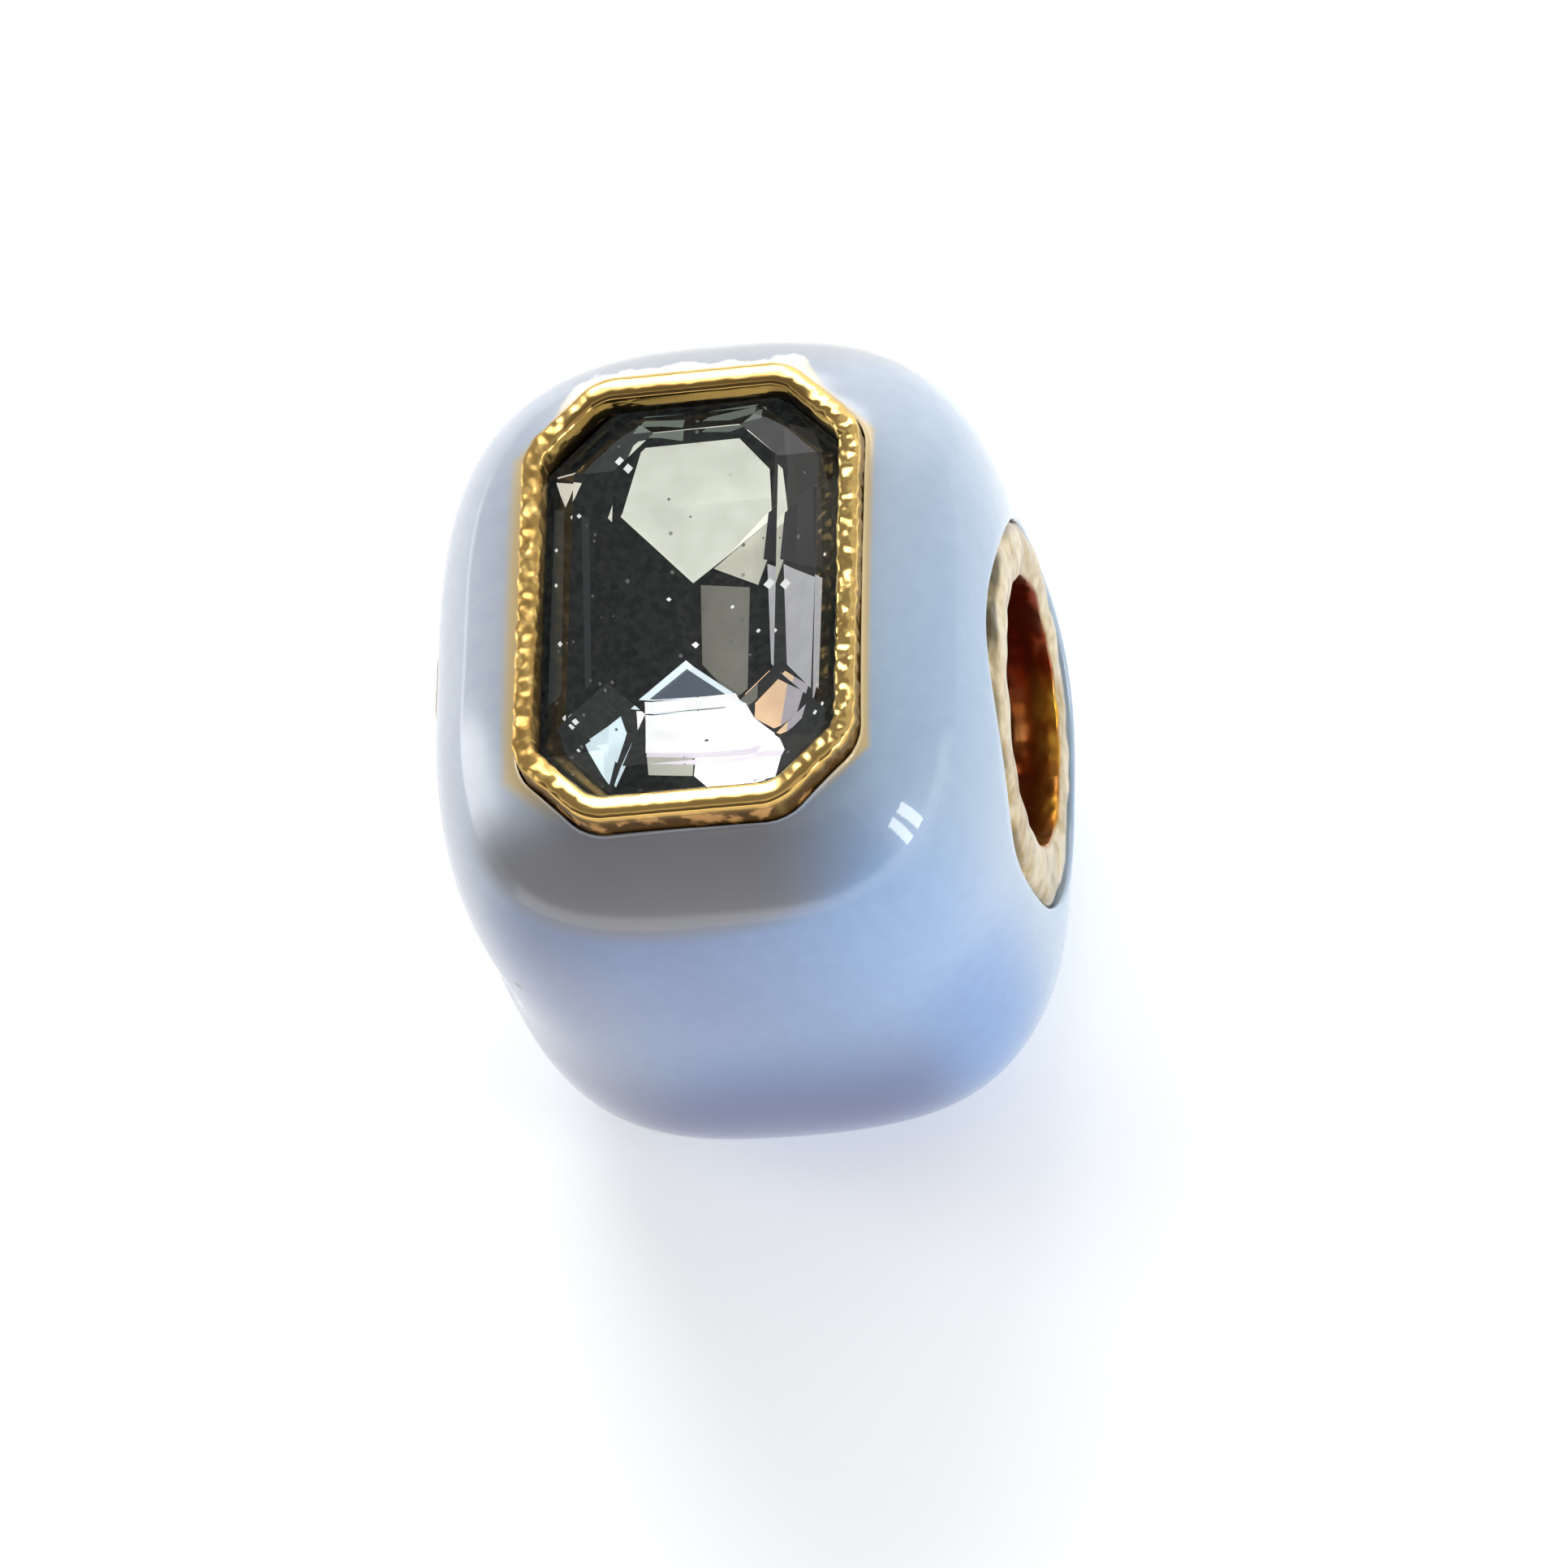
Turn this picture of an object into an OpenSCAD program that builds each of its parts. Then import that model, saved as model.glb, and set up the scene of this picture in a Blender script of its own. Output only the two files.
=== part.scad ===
// Cube slider charm: a gold-plated casting with a hole through it, an enamel coat
// round the casting, and an octagonal step-cut stone held in a rubbed-over bezel.
// The charm lies on its back. X runs along the hole, Y along the stone and Z up,
// and the origin is the middle of the flat back.

/* [Enamel coat] */
// Width of the enamelled body along the hole
body_w = 9.36; // [9.3:0.02:9.6]
// Length of the enamelled body along the stone
body_l = 11.28; // [11.1:0.02:11.6]
// Height of the body's dome, taken as if the bezel weren't there
body_h = 9.8; // [9.7:0.02:9.9]
// Height at which the body is widest
widest_z = 4.7; // [4.5:0.05:4.9]
// Squareness of the body seen from above, 2 being an ellipse
plan_power = 3.05; // [2.8:0.05:3.4]
// Squareness of the body seen from the side
side_power = 4.25; // [3.9:0.05:4.6]
// How far the flat back is cut up into the round form
back_cut = 0.06; // [0.04:0.01:0.1]
// Thickness of the enamel over the casting
enamel_t = 0.5; // [0.4:0.05:0.6]

/* [Hole] */
// Diameter of the hole that a bracelet or chain runs through
hole_d = 4.3; // [4.1:0.05:4.35]
// Height of the hole's axis above the back
hole_z = 5.05; // [5:0.05:5.1]
// Outer diameter of the bare metal ring round each mouth
ring_d = 6.1; // [5.9:0.05:6.2]
// Distance between the two mouths, over the crests of the rings
ring_span = 9.2; // [9:0.05:9.3]
// How far each ring falls from its crest to its outer edge
ring_fall = 0.2; // [0.1:0.01:0.24]
// How far each ring falls from its crest to the hole
mouth_fall = 0.06; // [0.03:0.01:0.08]

/* [Bezel] */
// Outer width of the bezel
bezel_w = 5.45; // [5.42:0.01:5.5]
// Outer length of the bezel
bezel_l = 7.88; // [7.84:0.02:8]
// Length cut off each outer corner along a side
bezel_cut = 1.17; // [1.1:0.01:1.25]
// Width of the opening over the stone
opening_w = 4.72; // [4.68:0.01:4.76]
// Length of the opening over the stone
opening_l = 6.9; // [6.86:0.01:6.94]
// Height of the bezel's crest above the back
crest_z = 10.05; // [10:0.01:10.1]
// Depth of the opening's foot below the crest
lip_depth = 0.45; // [0.42:0.01:0.48]
// Radius of the bezel's softened corners
corner_r = 0.75; // [0.4:0.05:0.9]

/* [Stone] */
// Width of the stone over its girdle
stone_w = 5; // [4.96:0.01:5]
// Length of the stone over its girdle
stone_l = 7.18; // [7.14:0.01:7.18]
// Length cut off each corner of the stone
stone_cut = 1.15; // [1.1:0.01:1.2]
// Height of the crown, from the girdle to the table
crown_h = 0.6; // [0.55:0.01:0.64]
// Height of the girdle band
girdle_h = 0.1; // [0.08:0.01:0.12]
// Depth of the pavilion, from the girdle to the keel
pavilion_h = 1.45; // [1.35:0.01:1.6]
// Width of the table
table_w = 2.64; // [2.4:0.02:3]
// Length of the table
table_l = 5.06; // [4.6:0.02:5.2]
// Length of the keel that the pavilion's long facets meet in
keel_l = 1.36; // [1.2:0.02:1.8]
// Gap between pieces that touch on the real charm
gap = 0.03; // [0.02:0.01:0.04]

/* [Hidden] */

up_h = body_h - widest_z;
down_h = widest_z + back_cut;
coat_sides = 64;
coat_steps = 10;
core_sides = 40;
core_steps = 7;
core_inset = enamel_t + gap;

ring_start = 3;
ring_steps = 8;
hole_r = hole_d / 2;
ring_r = ring_d / 2;
ring_mid = hole_r + (ring_r - hole_r) * 0.4;
ring_x = ring_span / 2;
cut_length = 2 * body_w;

bezel_foot = 8.4;
corner_steps = 3;
wall_w = (bezel_w - opening_w) / 2;
wall_l = (bezel_l - opening_l) / 2;
opening_cut = bezel_cut - 0.1;
// Each row of the rim: share of the wall's thickness inwards, and fall from the crest
rim_rows = [[0, 0.22], [0.06, 0.11], [0.2, 0.03], [0.42, 0]];

lip_z = crest_z - lip_depth;
table_z = crest_z;
girdle_top = table_z - crown_h;
girdle_foot = girdle_top - girdle_h;
keel_z = girdle_foot - pavilion_h;
// The crown's middle step: share of the way in to the table, and of the way up
step_in = 0.46;
step_up = 0.62;
table_cut = 0.62;
// The shelf where the pavilion turns from its steep tier to its hip roof
shelf_w = 2.6;
shelf_l = 3.96;
shelf_z = girdle_foot - pavilion_h * 0.6;
// The seat under the pavilion: its clearance, its corner cuts and its floor's inset
seat_clear = 0.04;
seat_cut = 0.04;
floor_in = 1.05;
seat_shelf_w = shelf_w + 2 * seat_clear;
seat_shelf_l = shelf_l + 2 * seat_clear;
seat_w = stone_w + 2 * gap;
seat_l = stone_l + 2 * gap;

// A power that keeps the sign of its base
function signed_pow(v, p) = sign(v) * pow(abs(v), p);

// One point of the body's plan, a superellipse with half-axes w and l
function plan_point(angle, w, l) =
    [w * signed_pow(cos(angle), 2 / plan_power), l * signed_pow(sin(angle), 2 / plan_power)];

// A level of the body at a latitude: its height share and its plan's size share
function level(latitude) =
    [signed_pow(sin(latitude), 2 / side_power), pow(cos(latitude), 2 / side_power)];

// The eight corners of an octagon with cut corners, counterclockwise from the +X side
function octagon(w, l, cut) = [
    [w / 2, l / 2 - cut], [w / 2 - cut, l / 2], [cut - w / 2, l / 2], [-w / 2, l / 2 - cut],
    [-w / 2, cut - l / 2], [cut - w / 2, -l / 2], [w / 2 - cut, -l / 2], [w / 2, cut - l / 2]
];

// The same octagon with each corner turned into an arc of radius r
function soft_octagon(w, l, cut, r) = [
    for (i = [0 : 7], j = [0 : corner_steps])
        let (middle = 22.5 + 45 * i, a = middle - 22.5 + 45 * j / corner_steps)
        octagon(w, l, cut)[i] - r / cos(22.5) * [cos(middle), sin(middle)] + r * [cos(a), sin(a)]
];

// The bezel's plan, a share of its wall's thickness in from the outside
function bezel_plan(share) = soft_octagon(
    bezel_w - 2 * share * wall_w, bezel_l - 2 * share * wall_l,
    bezel_cut + share * (opening_cut - bezel_cut), corner_r - share * wall_w
);

// Raises a plan to a height
function at(plan, z) = [for (p = plan) [p[0], p[1], z]];

// Closed solid through plans of n points each, given from the lowest to the highest
module loft(plans, n) {
    last = len(plans) - 1;
    polyhedron(
        points = [for (plan = plans) each plan],
        faces = concat(
            [[for (i = [0 : n - 1]) i]],
            [for (k = [0 : last - 1], i = [0 : n - 1])
                let (j = (i + 1) % n) [k * n + i, (k + 1) * n + i, (k + 1) * n + j, k * n + j]],
            [[for (i = [0 : n - 1]) last * n + n - 1 - i]]
        ),
        convexity = 4
    );
}

// The body's cushion form, taken in by an inset all round, with a flat back
module cushion(inset, sides, steps) {
    w = body_w / 2 - inset;
    l = body_l / 2 - inset;
    up = up_h - inset;
    down = down_h - inset;
    flat_share = 1 - back_cut / down_h;
    flat_latitude = asin(pow(flat_share, side_power / 2));
    lower = [for (i = [steps : -1 : 1]) let (v = level(-flat_latitude * i / steps)) [v[0] * down, v[1]]];
    upper = [for (i = [0 : steps - 1]) let (v = level(90 * i / steps)) [v[0] * up, v[1]]];
    crown = level(90 * (steps - 0.4) / steps);
    levels = concat(lower, upper, [[crown[0] * up, crown[1]]]);
    loft([
        for (v = levels)
            [for (s = [0 : sides - 1])
                let (p = plan_point(360 * s / sides, w * v[1], l * v[1])) [p[0], p[1], widest_z + v[0]]]
    ], sides);
}

// The domed ring round the mouth on the +X side, with its tube going into the casting
module ring() {
    inner = [for (i = [0 : ring_steps])
        let (t = i / ring_steps) [hole_r * 0.8 + (ring_mid - hole_r * 0.8) * t,
            ring_x - mouth_fall * pow(1 - t, 2)]];
    outer = [for (i = [1 : ring_steps])
        let (t = i / ring_steps) [ring_mid + (ring_r - ring_mid) * t, ring_x - ring_fall * pow(t, 2)]];
    translate([0, 0, hole_z])
        rotate([0, 90, 0])
            rotate_extrude($fn = 96)
                polygon(concat([[ring_r, ring_start], [hole_r * 0.8, ring_start]], inner, outer));
}

// The bezel as a solid mound, before the seat is cut into it
module bezel_mound() {
    loft(concat(
        [at(bezel_plan(0), bezel_foot)],
        [for (row = rim_rows) at(bezel_plan(row[0]), crest_z - row[1])]
    ), 8 * (corner_steps + 1));
}

// The space that the stone sits in, open at the top
module seat() {
    loft([
        at(octagon(seat_shelf_w - 2 * floor_in, seat_shelf_l - 2 * floor_in, seat_cut), keel_z - seat_clear),
        at(octagon(seat_shelf_w, seat_shelf_l, seat_cut), shelf_z - seat_clear),
        at(octagon(seat_w, seat_l, stone_cut), girdle_foot - seat_clear),
        at(octagon(seat_w, seat_l, stone_cut), girdle_top + gap),
        at(octagon(opening_w, opening_l, opening_cut), lip_z),
        at(octagon(opening_w + 0.6 * wall_w, opening_l + 0.6 * wall_l, opening_cut), crest_z - 0.06),
        at(octagon(opening_w + 1.2 * wall_w, opening_l + 1.2 * wall_l, opening_cut), crest_z + 0.3)
    ], 8);
}

module metal_body() {
    color("gold")
        difference() {
            union() {
                cushion(core_inset, core_sides, core_steps);
                bezel_mound();
                ring();
                mirror([1, 0, 0]) ring();
            }
            seat();
            translate([-cut_length / 2, 0, hole_z])
                rotate([0, 90, 0])
                    cylinder(h = cut_length, r = hole_r, $fn = 96);
        }
}

module enamel_coat() {
    color("lightsteelblue")
        difference() {
            cushion(0, coat_sides, coat_steps);
            cushion(enamel_t, core_sides, core_steps);
            translate([0, 0, bezel_foot - 1])
                linear_extrude(height = 3)
                    polygon(soft_octagon(bezel_w + 2 * gap, bezel_l + 2 * gap, bezel_cut, corner_r));
            translate([-cut_length / 2, 0, hole_z])
                rotate([0, 90, 0])
                    cylinder(h = cut_length, r = ring_r + gap, $fn = 96);
        }
}

module stone() {
    girdle = octagon(stone_w, stone_l, stone_cut);
    table = octagon(table_w, table_l, table_cut);
    step = [for (i = [0 : 7]) girdle[i] + (table[i] - girdle[i]) * step_in];
    shelf = [[1, 1], [-1, 1], [-1, -1], [1, -1]];
    points = concat(
        at(table, table_z), at(step, girdle_top + crown_h * step_up), at(girdle, girdle_top),
        at(girdle, girdle_foot),
        [for (s = shelf) [s[0] * shelf_w / 2, s[1] * shelf_l / 2, shelf_z]],
        [[0, keel_l / 2, keel_z], [0, -keel_l / 2, keel_z]]
    );
    bands = [for (k = [0 : 2], i = [0 : 7])
        let (j = (i + 1) % 8) [k * 8 + i, k * 8 + j, (k + 1) * 8 + j, (k + 1) * 8 + i]];
    // Girdle corners are points 24 to 31, shelf corners 32 to 35, keel ends 36 and 37
    sides = [[31, 24, 32, 35], [25, 26, 33, 32], [27, 28, 34, 33], [29, 30, 35, 34]];
    corners = [[24, 25, 32], [26, 27, 33], [28, 29, 34], [30, 31, 35]];
    roof = [[35, 32, 36, 37], [32, 33, 36], [33, 34, 37, 36], [34, 35, 37]];
    color("lightgray")
        polyhedron(
            points = points,
            faces = concat([[7, 6, 5, 4, 3, 2, 1, 0]], bands, sides, corners, roof),
            convexity = 2
        );
}

metal_body();
enamel_coat();
stone();
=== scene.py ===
# Cube slider charm: pale blue enamel over a gold casting, with a large hole and an octagonal stone.
# The charm lies on its back: X runs along the hole, Y along the stone, Z up. Lengths are in metres.
import math

import bmesh
import bpy
from mathutils import Matrix, Vector, noise


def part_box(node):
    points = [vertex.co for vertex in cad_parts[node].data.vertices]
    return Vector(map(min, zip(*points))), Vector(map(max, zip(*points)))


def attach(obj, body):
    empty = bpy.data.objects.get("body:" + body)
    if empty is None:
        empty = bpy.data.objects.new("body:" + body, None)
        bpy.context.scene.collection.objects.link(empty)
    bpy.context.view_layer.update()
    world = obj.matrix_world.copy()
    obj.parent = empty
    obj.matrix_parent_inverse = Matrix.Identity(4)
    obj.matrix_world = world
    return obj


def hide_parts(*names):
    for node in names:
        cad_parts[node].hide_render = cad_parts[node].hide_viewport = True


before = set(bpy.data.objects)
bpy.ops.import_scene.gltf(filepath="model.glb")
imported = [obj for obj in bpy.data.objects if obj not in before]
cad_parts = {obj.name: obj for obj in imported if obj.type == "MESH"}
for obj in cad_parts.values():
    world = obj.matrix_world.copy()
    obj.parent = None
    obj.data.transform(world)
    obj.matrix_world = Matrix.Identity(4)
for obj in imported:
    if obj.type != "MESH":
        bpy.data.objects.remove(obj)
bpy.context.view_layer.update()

mm = 0.001
scene = bpy.context.scene
_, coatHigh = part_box("enamel_coat")
_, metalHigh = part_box("metal_body")
stoneLow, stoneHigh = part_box("stone")

# The rounded cube that the enamel and the casting share
cushion = {
    "halfWidth": 4.68 * mm,
    "halfLength": coatHigh.y,
    "middle": 4.7 * mm,  # height where it is widest
    "up": 5.1 * mm,  # from there to the top of the dome
    "down": 4.76 * mm,  # and to the bottom, which the flat back cuts off
    "planPower": 3.05,
    "sidePower": 4.25,
}

hole = {
    "height": 5.05 * mm,
    "radius": 2.15 * mm,
    "ringRadius": 3.05 * mm,
    "crest": metalHigh.x - 0.045 * mm,  # how far out the rings reach, before they are dented
    # Where the rings aren't round: angle from +Z towards +Y, spread in degrees, how much wider
    "swells": [(-18, 85, 0.12 * mm), (-92, 30, -0.1 * mm), (-132, 28, 0.1 * mm)],
}

# The bezel in plan: its outside, and the opening over the stone.
# A cut is what a corner loses along each side, soft is the radius that rounds what is left.
octagon = {
    "width": 5.45 * mm,
    "length": 7.88 * mm,
    "cut": 1.17 * mm,
    "soft": 0.75 * mm,
    "openWidth": 4.72 * mm,
    "openLength": 6.9 * mm,
    "openCut": 1.07 * mm,
    "openSoft": 0.385 * mm,
    "leastSoft": 0.03 * mm,
}


# Modelling helpers


def cushionShare(spot, inset=0.0):  # 1 on the cushion's skin; spot is measured from the widest level
    wide = abs(spot.x) / (cushion["halfWidth"] - inset)
    long = abs(spot.y) / (cushion["halfLength"] - inset)
    tall = abs(spot.z) / ((cushion["up"] if spot.z > 0 else cushion["down"]) - inset)
    plan = (wide ** cushion["planPower"] + long ** cushion["planPower"]) ** (1 / cushion["planPower"])
    return (plan ** cushion["sidePower"] + tall ** cushion["sidePower"]) ** (1 / cushion["sidePower"])


def slideToSkin(spot, axis, inset=0.0):  # moves a spot along one axis until it is on the skin
    side = 1 if spot[axis] > 0 else -1
    near, far = 0.0, 2 * cushion["halfLength"]
    tried = spot.copy()
    for _ in range(36):  # halvings
        tried[axis] = side * (near + far) / 2
        if cushionShare(tried, inset) < 1:
            near = abs(tried[axis])
        else:
            far = abs(tried[axis])
    return tried


def ringReach(angle, radius):  # the radius of a ring's outline; angle is measured from +Z towards +Y
    for middle, spread, wider in hole["swells"]:
        away = abs((math.degrees(angle) - middle + 180) % 360 - 180)
        share = max(0.0, 1 - away / spread)
        radius += wider * share * share * (3 - 2 * share)
    return radius


def newVerts(bm, before):  # the vertices made since there were so many
    bm.verts.index_update()
    return [v for v in bm.verts if v.index >= before]


def newEdges(bm, before):
    fresh = set(newVerts(bm, before))
    return [e for e in bm.edges if e.verts[0] in fresh and e.verts[1] in fresh]


def withoutGaps(bm):  # the same mesh in a fresh bmesh, so that new vertices come last
    mesh = bpy.data.meshes.new("passing")
    bm.to_mesh(mesh)
    bm.free()
    fresh = bmesh.new()
    fresh.from_mesh(mesh)
    bpy.data.meshes.remove(mesh)
    return fresh


def octagonCorners(width, length, cut):
    quarter = [(width / 2, length / 2 - cut), (width / 2 - cut, length / 2)]
    half = quarter + [(-x, y) for x, y in reversed(quarter)]
    return half + [(-x, -y) for x, y in half]


def octagonLoop(bm, share, height, parts):  # a loop round the stone, some share through the bezel's wall
    def between(outer, inner):
        return octagon[outer] + (octagon[inner] - octagon[outer]) * share

    before = len(bm.verts)
    sizes = [between("width", "openWidth"), between("length", "openLength"), between("cut", "openCut")]
    corners = octagonCorners(*sizes)
    soft = max(between("soft", "openSoft"), octagon["leastSoft"])
    made = bmesh.ops.create_circle(bm, cap_ends=True, radius=1, segments=8)["verts"]
    for v, (x, y) in zip(made, corners):
        v.co = (x, y, height)
    bmesh.ops.bevel(
        bm, geom=made, offset=soft * math.tan(math.pi / 8), offset_type="OFFSET", segments=parts["corner"],
        profile=0.5, affect="VERTICES", material=-1,
    )
    caps = {f for v in newVerts(bm, before) for f in v.link_faces}
    bmesh.ops.delete(bm, geom=list(caps), context="FACES_ONLY")
    for kind, count in (("long", 2), ("wide", 2), ("chamfer", 4)):
        straight = sorted(newEdges(bm, before), key=lambda e: -e.calc_length())[:count]
        bmesh.ops.subdivide_edges(bm, edges=straight, cuts=parts[kind] - 1)
    return newEdges(bm, before)


def cubeSide(spot):  # which axis the side of the cushion that a spot lies on faces
    reach = cushion["up"] if spot.z > 0 else cushion["down"]
    shares = (abs(spot.x) / cushion["halfWidth"], abs(spot.y) / cushion["halfLength"], abs(spot.z) / reach)
    return shares.index(max(shares))


def borderEdges(bm, axis, side):  # the edges round the opening on one side of the cushion
    border = [e for e in bm.edges if e.is_boundary]
    return [e for e in border if all(cubeSide(v.co) == axis and v.co[axis] * side > 0 for v in e.verts)]


def bridgeRows(bm, first, second, cuts):  # joins two loops with some rows of faces between them
    faces = bmesh.ops.bridge_loops(bm, edges=first + second)["faces"]
    cross = {e for f in faces for e in f.edges} - set(first) - set(second)
    bmesh.ops.subdivide_edges(bm, edges=list(cross), cuts=cuts, use_grid_fill=True)


def stepLoop(bm, edges, axis, inward=0.0, climb=0.0, scale=1.0, stretch=1.0, lean=0.0):
    # Extrudes a loop once. The new loop goes towards the opening by inward and along the axis by climb.
    # With a lean it climbs more where inward is -Y.
    made = bmesh.ops.extrude_edge_only(bm, edges=edges)["geom"]
    fresh = {v for v in made if isinstance(v, bmesh.types.BMVert)}
    loop = [e for e in made if isinstance(e, bmesh.types.BMEdge) and fresh.issuperset(e.verts)]
    middle = sum((v.co for v in fresh), Vector()) / len(fresh)
    inLoop, places = set(loop), {}
    for v in fresh:
        before, after = [e.other_vert(v).co for e in v.link_edges if e in inLoop]
        side = (after - before).normalized().cross(axis)
        side = -side if side.dot(middle - v.co) < 0 else side
        side.y *= stretch
        spot = middle + (v.co - middle) * scale
        places[v] = spot + side * inward + axis * (climb - lean * side.y * inward)
    for v, spot in places.items():
        v.co = spot
    return loop


def capLoop(bm, edges):
    bmesh.ops.contextual_create(bm, geom=edges)


def roughen(verts, amount, size, seed, chosen=None):  # pushes vertices in and out along their normals
    moves = {}
    for v in verts:
        share = chosen(v.co) if chosen else 1.0
        if share > 0:
            spot = v.co / size + Vector((seed, seed * 0.7, seed * 0.3))
            moves[v] = v.normal * noise.noise(spot) * amount * share
    for v, move in moves.items():
        v.co += move


def dress(bm, name, node, materials, smooth=True):
    if bm.calc_volume(signed=True) < 0:
        bmesh.ops.reverse_faces(bm, faces=bm.faces[:])
    mesh = bpy.data.meshes.new(name)
    bm.to_mesh(mesh)
    bm.free()
    for material in materials:
        mesh.materials.append(material)
    for face in mesh.polygons:
        face.use_smooth = smooth
    piece = bpy.data.objects.new(name, mesh)
    scene.collection.objects.link(piece)
    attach(piece, "root")
    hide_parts(node)
    print(f"{name}: {len(mesh.polygons)} faces")
    return piece


# Material helpers


def add(tree, kind, **values):
    node = tree.nodes.new(kind)
    for name, value in values.items():
        setattr(node, name, value)
    return node


def join(tree, source, socket):
    if isinstance(source, bpy.types.NodeSocket):
        tree.links.new(source, socket)
    else:
        socket.default_value = source


def maths(tree, operation, first, second=0.0, clamp=False):
    node = add(tree, "ShaderNodeMath", operation=operation, use_clamp=clamp)
    join(tree, first, node.inputs[0])
    join(tree, second, node.inputs[1])
    return node.outputs[0]


def ramp(tree, value, low, high):  # 0 at low and 1 at high, with soft ends
    node = add(tree, "ShaderNodeMapRange", interpolation_type="SMOOTHSTEP")
    join(tree, value, node.inputs["Value"])
    join(tree, low, node.inputs["From Min"])
    join(tree, high, node.inputs["From Max"])
    return node.outputs["Result"]


def blend(tree, share, first, second):
    node = add(tree, "ShaderNodeMix", data_type="RGBA")
    join(tree, share, node.inputs["Factor"])
    join(tree, first, node.inputs[6])
    join(tree, second, node.inputs[7])
    return node.outputs[2]


def newGroup(name, inputs, outputs):
    group = bpy.data.node_groups.new(name, "ShaderNodeTree")
    for label, kind in inputs:
        group.interface.new_socket(label, in_out="INPUT", socket_type=kind)
    for label, kind in outputs:
        group.interface.new_socket(label, in_out="OUTPUT", socket_type=kind)
    return group, add(group, "NodeGroupInput"), add(group, "NodeGroupOutput")


def place(tree, group, **values):
    node = add(tree, "ShaderNodeGroup", node_tree=group)
    for name, value in values.items():
        join(tree, value, node.inputs[name])
    return node


def millimetres(tree):  # Object coordinates in millimetres
    mapping = add(tree, "ShaderNodeMapping")
    mapping.inputs["Scale"].default_value = (1 / mm, 1 / mm, 1 / mm)
    tree.links.new(add(tree, "ShaderNodeTexCoord").outputs["Object"], mapping.inputs["Vector"])
    return mapping.outputs[0]


def newMaterial(name):
    material = bpy.data.materials.new(name)
    material.use_nodes = True
    tree = material.node_tree
    return material, tree, tree.nodes["Principled BSDF"]


def bumpUp(tree, shader, height):  # height in millimetres
    bump = add(tree, "ShaderNodeBump")
    bump.inputs["Distance"].default_value = mm
    tree.links.new(height, bump.inputs["Height"])
    tree.links.new(bump.outputs[0], shader.inputs["Normal"])


def axes(tree, spot):  # the three coordinates of a vector
    split = add(tree, "ShaderNodeSeparateXYZ")
    tree.links.new(spot, split.inputs[0])
    return split.outputs["X"], split.outputs["Y"], split.outputs["Z"]


def times(tree, first, *others):
    for other in others:
        first = maths(tree, "MULTIPLY", first, other)
    return first


def plus(tree, first, *others):
    for other in others:
        first = maths(tree, "ADD", first, other)
    return first


def minus(tree, first, second):
    return maths(tree, "SUBTRACT", first, second)


def where(tree, measures, parts):
    # The product of some parts. A part is a measure's name, or the name with the two ends of its ramp.
    def share(part):
        return measures[part] if isinstance(part, str) else ramp(tree, measures[part[0]], *part[1:])

    return times(tree, *map(share, parts))


# Effects that several materials share


def makeMottle():  # soft cloudy patches, from 0 to 1
    group, start, end = newGroup(
        "mottle",
        [("Vector", "NodeSocketVector"), ("Scale", "NodeSocketFloat"), ("Contrast", "NodeSocketFloat")],
        [("Amount", "NodeSocketFloat")],
    )
    clouds = add(group, "ShaderNodeTexNoise")
    clouds.inputs["Detail"].default_value = 4
    group.links.new(start.outputs["Vector"], clouds.inputs["Vector"])
    group.links.new(start.outputs["Scale"], clouds.inputs["Scale"])
    centred = minus(group, clouds.outputs["Fac"], 0.5)
    spread = maths(group, "MULTIPLY_ADD", centred, start.outputs["Contrast"])
    spread.node.inputs[2].default_value = 0.5
    spread.node.use_clamp = True
    group.links.new(spread, end.inputs["Amount"])
    return group


def makePebbles():  # small rounded lumps, as hammered or cast metal has
    group, start, end = newGroup(
        "pebbles",
        [("Vector", "NodeSocketVector"), ("Scale", "NodeSocketFloat"), ("Height", "NodeSocketFloat")],
        [("Height", "NodeSocketFloat"), ("Lumps", "NodeSocketFloat")],
    )
    cells = add(group, "ShaderNodeTexVoronoi", feature="SMOOTH_F1")
    cells.inputs["Smoothness"].default_value = 0.6
    group.links.new(start.outputs["Vector"], cells.inputs["Vector"])
    group.links.new(start.outputs["Scale"], cells.inputs["Scale"])
    lumps = maths(group, "SUBTRACT", 1.0, cells.outputs["Distance"], clamp=True)
    group.links.new(times(group, lumps, start.outputs["Height"]), end.inputs["Height"])
    group.links.new(lumps, end.inputs["Lumps"])
    return group


def makeOctagonDistance():  # distance outside the bezel's plan, in millimetres
    group, start, end = newGroup(
        "octagonDistance", [("Vector", "NodeSocketVector")], [("Distance", "NodeSocketFloat")]
    )
    x, y, _ = axes(group, start.outputs["Vector"])
    across, along = maths(group, "ABSOLUTE", x), maths(group, "ABSOLUTE", y)
    halfWide, halfLong = octagon["width"] / 2 / mm, octagon["length"] / 2 / mm
    slanted = minus(group, plus(group, across, along), halfWide + halfLong - octagon["cut"] / mm)
    slanted = times(group, slanted, math.sqrt(0.5))
    outside = maths(group, "MAXIMUM", minus(group, across, halfWide), minus(group, along, halfLong))
    group.links.new(maths(group, "MAXIMUM", outside, slanted), end.inputs["Distance"])
    return group


mottle = makeMottle()
pebbles = makePebbles()
octagonDistance = makeOctagonDistance()


def cloudy(tree, spot, scale, contrast):
    return place(tree, mottle, Vector=spot, Scale=scale, Contrast=contrast).outputs["Amount"]


# The cushion with its window and its two mouths, as one open skin

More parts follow.
